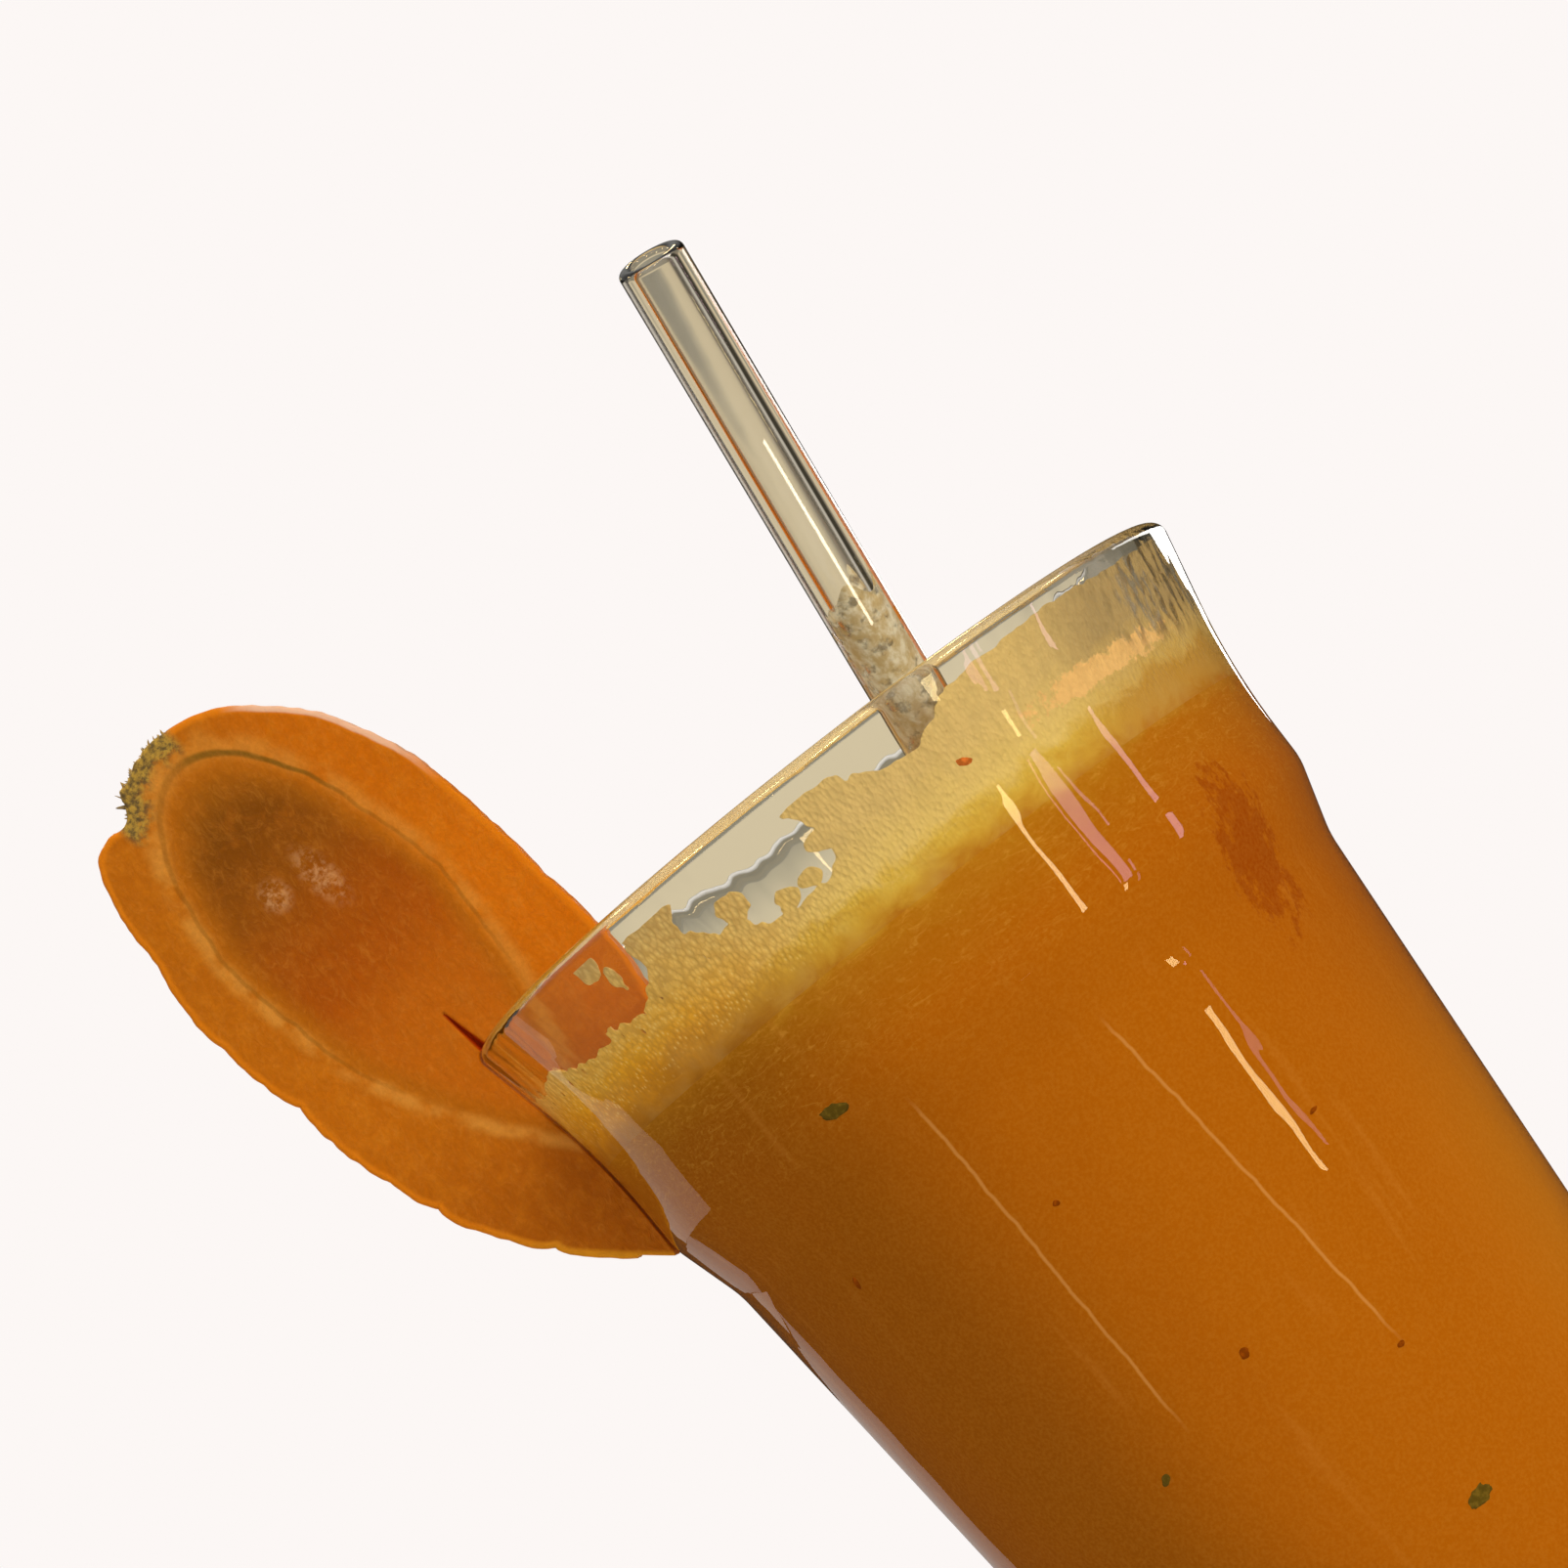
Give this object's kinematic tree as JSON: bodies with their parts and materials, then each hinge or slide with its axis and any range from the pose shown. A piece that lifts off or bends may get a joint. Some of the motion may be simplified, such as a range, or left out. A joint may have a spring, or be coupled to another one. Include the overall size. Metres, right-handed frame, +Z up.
{
  "type": "glass of juice",
  "caption": "Flared tumbler filled with carrot juice under a froth head, with a clear glass drinking straw leaning on the rim and a slit slice of carrot hung over the wall.",
  "frame": {"origin": "centre of the tumbler's flat base", "axes": "+Z up the tumbler's axis, -X towards the carrot slice, -Y towards the side over which the straw leans"},
  "size_m": [0.1056, 0.0983, 0.1768],
  "materials": {
    "glass": "clear, polished",
    "juice": "cloudy orange carrot juice",
    "foam": "pale fine froth",
    "straw": "clear, melted ends",
    "carrot": "wet cut carrot"
  },
  "bodies": {
    "root": {"glass": "glass", "juice": "juice", "foam": "foam", "straw": "straw", "carrot_slice": "carrot"}
  },
  "joints": []
}
